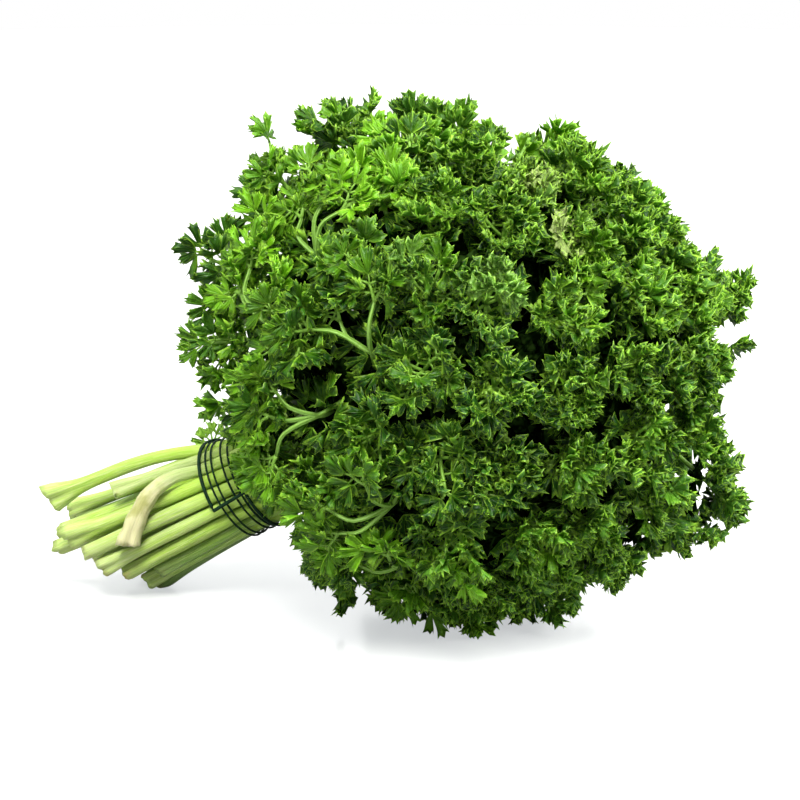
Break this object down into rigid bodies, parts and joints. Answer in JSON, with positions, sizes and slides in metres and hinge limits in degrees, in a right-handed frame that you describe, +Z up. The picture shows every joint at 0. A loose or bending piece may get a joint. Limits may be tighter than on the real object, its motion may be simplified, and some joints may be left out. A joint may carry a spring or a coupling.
{
  "type": "curly parsley bunch",
  "caption": "Bunch of curly parsley lying on its side: pale green cut stems tied by dark rubber bands below a dense, domed, frilly leafy head.",
  "frame": {"origin": "centre of the bunch's footprint box, on the table it lies on", "axes": "+X along the table from the cut stem ends to the leafy head; +Z up from the table; +Y to the left of someone looking along +X"},
  "size_m": [0.2348, 0.1664, 0.1693],
  "materials": {
    "stem": "satin",
    "leaf": "satin",
    "band": "matte"
  },
  "bodies": {
    "root": {"stem_01": "stem", "stem_02": "stem", "stem_03": "stem", "stem_04": "stem", "stem_05": "stem", "stem_06": "stem", "stem_07": "stem", "stem_08": "stem", "stem_09": "stem", "stem_10": "stem", "stem_11": "stem", "stem_12": "stem", "stem_13": "stem", "stem_14": "stem", "stem_15": "stem", "stem_16": "stem", "stem_17": "stem", "stem_18": "stem", "stem_19": "stem", "stem_20": "stem", "stem_21": "stem", "stem_22": "stem", "stem_23": "stem", "stem_24": "stem", "stem_25": "stem", "stem_26": "stem", "stem_27": "stem", "stem_28": "stem", "leaf_01": "leaf", "leaf_02": "leaf", "leaf_03": "leaf", "leaf_04": "leaf", "leaf_05": "leaf", "leaf_06": "leaf", "leaf_07": "leaf", "leaf_08": "leaf", "leaf_09": "leaf", "leaf_10": "leaf", "leaf_11": "leaf", "leaf_12": "leaf", "leaf_13": "leaf", "leaf_14": "leaf", "leaf_15": "leaf", "leaf_16": "leaf", "leaf_17": "leaf", "leaf_18": "leaf", "leaf_19": "leaf", "leaf_20": "leaf", "leaf_21": "leaf", "leaf_22": "leaf", "leaf_23": "leaf", "leaf_24": "leaf", "leaf_25": "leaf", "leaf_26": "leaf", "leaf_27": "leaf", "leaf_28": "leaf", "band_thick": "band", "band_thin": "band", "sprig_stray": "leaf"}
  },
  "joints": []
}
